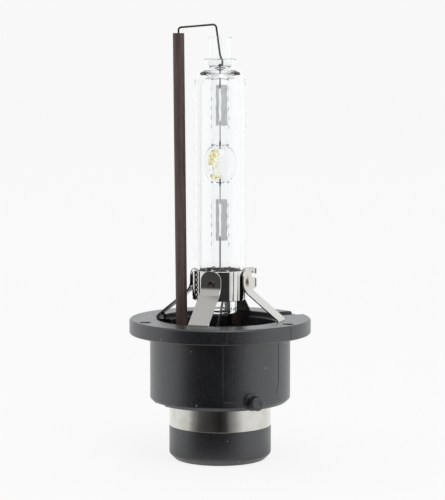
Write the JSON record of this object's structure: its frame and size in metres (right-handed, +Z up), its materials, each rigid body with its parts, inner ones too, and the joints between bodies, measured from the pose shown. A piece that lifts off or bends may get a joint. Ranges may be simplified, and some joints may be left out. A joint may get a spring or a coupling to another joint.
{
  "type": "xenon headlight bulb",
  "caption": "Gas discharge headlight bulb: clear arc tube in an outer bulb, held by a clamp band and bent legs in a black bayonet base.",
  "frame": {"origin": "lamp axis at the underside of the base's connector cup", "axes": "+Z up along the lamp's axis, towards the glass; -Y is the side that the picture shows"},
  "size_m": [0.0318, 0.0318, 0.0762],
  "materials": {
    "black_plastic": "moulded, fine matte",
    "ring_metal": "turned, brushed",
    "contact_metal": "bright",
    "band_steel": "bright rolled strip",
    "leg_steel": "rolled strip",
    "bulb_glass": "clear fused silica",
    "quartz_glass": "clear fused silica",
    "tungsten": "drawn rod",
    "foil_metal": "rolled foil",
    "lead_metal": "drawn wire",
    "wire_metal": "drawn wire",
    "brown_ceramic": "matte",
    "salts": "melted crust"
  },
  "bodies": {
    "root": {"base_housing": "black_plastic", "contact_ring": "ring_metal", "centre_contact": "contact_metal", "clamp_band": "band_steel", "front_leg": "leg_steel", "right_leg": "leg_steel", "rear_leg": "leg_steel", "left_leg": "leg_steel", "outer_bulb": "bulb_glass", "arc_tube": "quartz_glass", "upper_electrode": "tungsten", "lower_electrode": "tungsten", "upper_foil": "foil_metal", "lower_foil": "foil_metal", "upper_lead": "lead_metal", "lower_lead": "lead_metal", "return_wire": "wire_metal", "ceramic_tube": "brown_ceramic", "halide_salts": "salts"}
  },
  "joints": []
}
